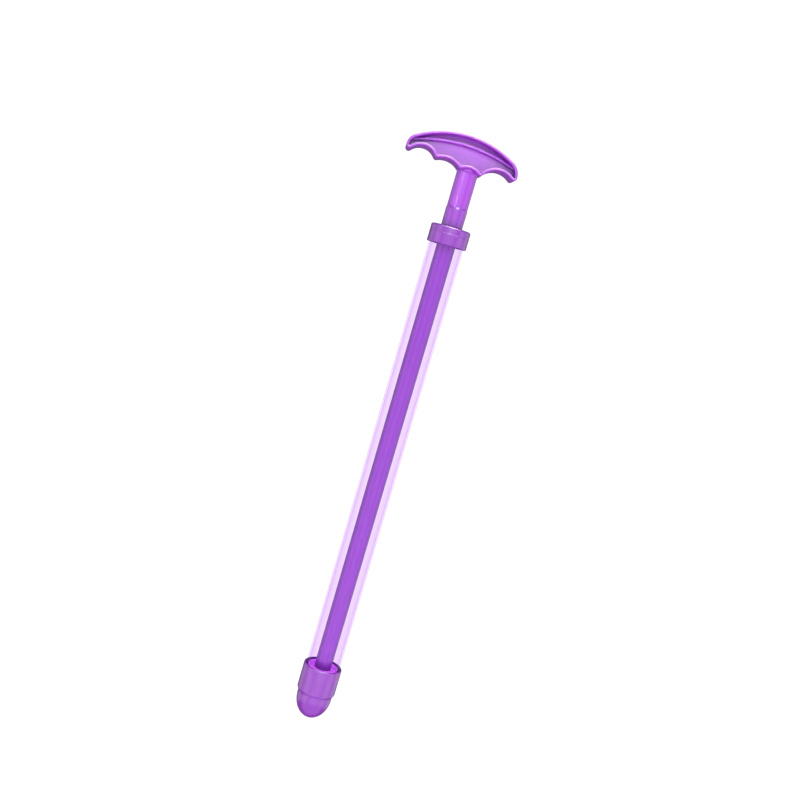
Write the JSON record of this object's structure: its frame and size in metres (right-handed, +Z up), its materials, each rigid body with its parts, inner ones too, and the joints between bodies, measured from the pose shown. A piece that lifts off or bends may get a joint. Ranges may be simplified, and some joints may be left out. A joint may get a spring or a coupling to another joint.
{
  "type": "water squirter",
  "caption": "Pull-type water squirter: clear tube with a collar and a domed nozzle cap, and a sliding plunger with a finger-grooved T-grip.",
  "frame": {"origin": "on the table, under the middle of the outline of the squirter lying down with its plunger pushed in", "axes": "+X along the barrel from the grip to the nozzle, -Y towards the grip's long side, +Z up, square to the flat of the grip"},
  "size_m": [0.5192, 0.0954, 0.0343],
  "materials": {
    "moulded_purple": "glossy moulded plastic",
    "moulded_violet": "glossy moulded plastic",
    "clear_lavender": "clear tinted extruded plastic",
    "black_rubber": "matt moulded rubber",
    "steel": "bright rolled steel"
  },
  "bodies": {
    "barrel": {"barrel_tube": "clear_lavender", "rear_collar": "moulded_purple", "nozzle_cap": "moulded_purple"},
    "seal": {"piston_ring": "black_rubber"},
    "plunger": {"handle": "moulded_purple", "plunger_rod": "moulded_violet", "piston_head": "moulded_violet", "piston_washer": "steel", "piston_screw": "steel"}
  },
  "joints": [
    {"name": "plunger_slide", "type": "slide", "parent": "barrel", "child": "seal", "axis": [-1, 0, 0], "range_m": [0, 0.39]},
    {"name": "plunger_spin", "type": "hinge", "parent": "seal", "child": "plunger", "pos_m": [0, 0.0078, 0.01715], "axis": [1, 0, 0], "continuous": true}
  ]
}
